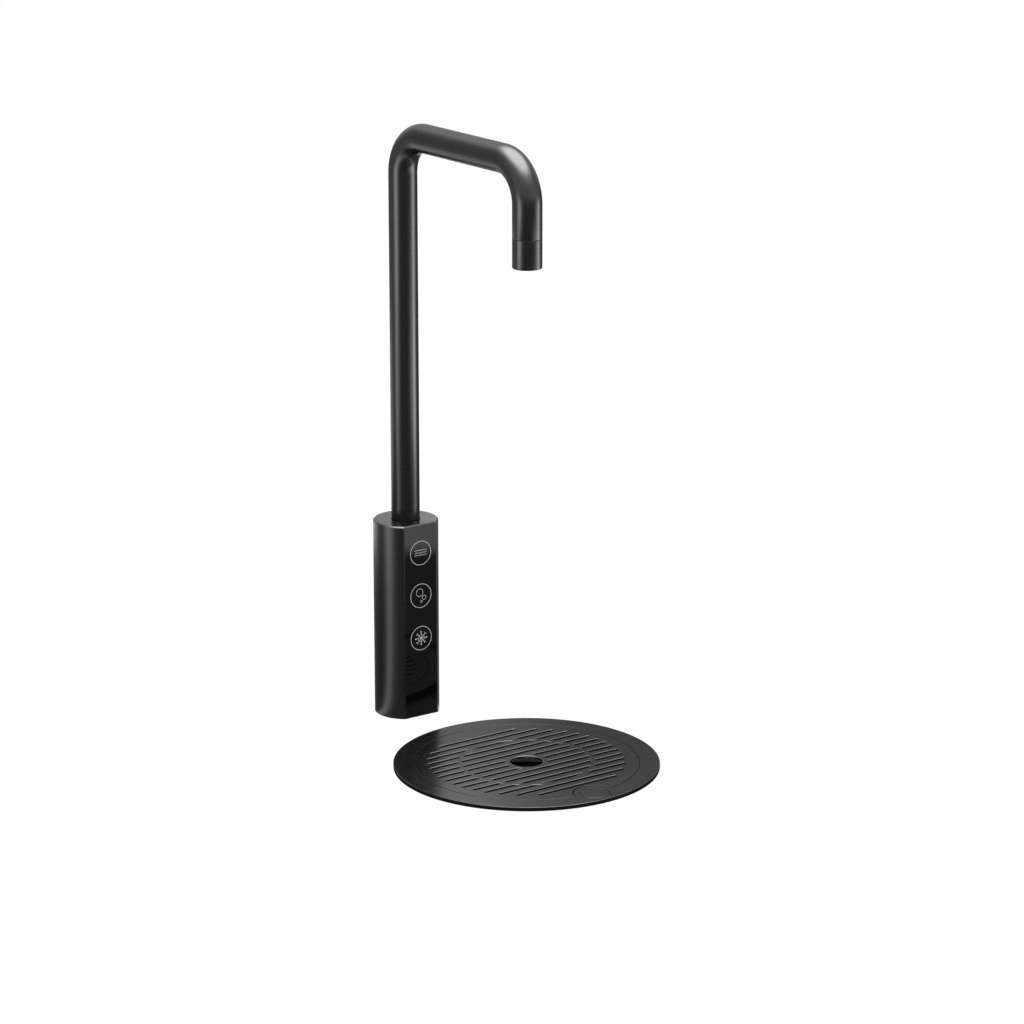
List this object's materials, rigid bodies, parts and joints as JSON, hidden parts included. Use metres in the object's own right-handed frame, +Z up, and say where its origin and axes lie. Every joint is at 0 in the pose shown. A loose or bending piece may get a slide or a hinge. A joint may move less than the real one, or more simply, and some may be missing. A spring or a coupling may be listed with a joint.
{
  "type": "boiling water tap",
  "caption": "Worktop water tap: D-section font with a flat touch-key front, a square swan spout that swivels, and a sunk round drip tray with a lift-out slotted grille.",
  "frame": {"origin": "on the font's vertical axis, in the plane of the worktop", "axes": "+Z up along the font; -Y towards the user: touch keys, outlet and drip tray; +X to the right when looking along +Y; mirror plane X = 0"},
  "size_m": [0.2, 0.2853, 0.557],
  "materials": {
    "satin_black": "satin matt black coating over steel tube and turned metal",
    "black_grille": "fine brushed, matt black coating",
    "black_glass": "gloss black touch glass",
    "adhesive": "grey bonding sheet",
    "circuit_board": "green board with solder mask",
    "copper_pad": "bare copper pads",
    "chip_black": "moulded chip housing",
    "natural_plastic": "natural white engineering plastic",
    "grey_cable": "grey cable sheath",
    "white_line": "milky water line",
    "black_plastic": "black moulded outlet",
    "grey_plastic": "grey moulded fitting",
    "brass": "turned brass",
    "steel": "bright steel fixing",
    "bowl_steel": "drawn steel, dulled inside",
    "rubber": "black rubber"
  },
  "bodies": {
    "root": {"font_body": "satin_black", "tray_rim": "black_grille", "rim_disc": "black_grille", "touch_panel": "black_glass", "panel_adhesive": "adhesive", "touch_board": "circuit_board", "sensor_pads": "copper_pad", "controller_chip": "chip_black", "key_lamps": "natural_plastic", "board_connector": "natural_plastic", "upper_bush": "natural_plastic", "thrust_washer": "natural_plastic", "inlet_collets": "natural_plastic", "signal_wire": "grey_cable", "still_line_lower": "white_line", "sparkling_line_lower": "white_line", "chilled_line_lower": "white_line", "inlet_block": "grey_plastic", "drain_nut": "grey_plastic", "font_stem": "brass", "back_nut": "brass", "signal_socket": "steel", "body_grub_screws": "steel", "limit_screw": "steel", "base_plate": "steel", "steel_washer": "steel", "bowl_screws": "steel", "drain_spigot": "steel", "strainer": "steel", "clamp_studs": "steel", "clamp_claws": "steel", "clamp_nuts": "steel", "tray_bowl": "bowl_steel", "deck_gasket": "rubber", "rubber_washer": "rubber", "inlet_block_seal": "rubber", "tray_gasket": "rubber", "drain_seal": "rubber"},
    "spout": {"spout_tube": "satin_black", "spout_foot": "brass", "foot_o_rings": "rubber", "still_line_upper": "white_line", "sparkling_line_upper": "white_line", "chilled_line_upper": "white_line"},
    "nozzle": {"nozzle_sleeve": "satin_black", "outlet_disc": "black_plastic", "nozzle_o_ring": "rubber"},
    "grille": {"grille_plate": "black_grille"}
  },
  "joints": [
    {"name": "spout_swivel", "type": "hinge", "parent": "root", "child": "spout", "pos_m": [0, 0, 0.02], "axis": [0, 0, 1], "range_deg": [-25, 25]},
    {"name": "nozzle_pull", "type": "slide", "parent": "spout", "child": "nozzle", "axis": [0, 0, -1], "range_m": [0, 0.025]},
    {"name": "grille_lift", "type": "slide", "parent": "root", "child": "grille", "axis": [0, 0, 1], "range_m": [0, 0.06]}
  ]
}
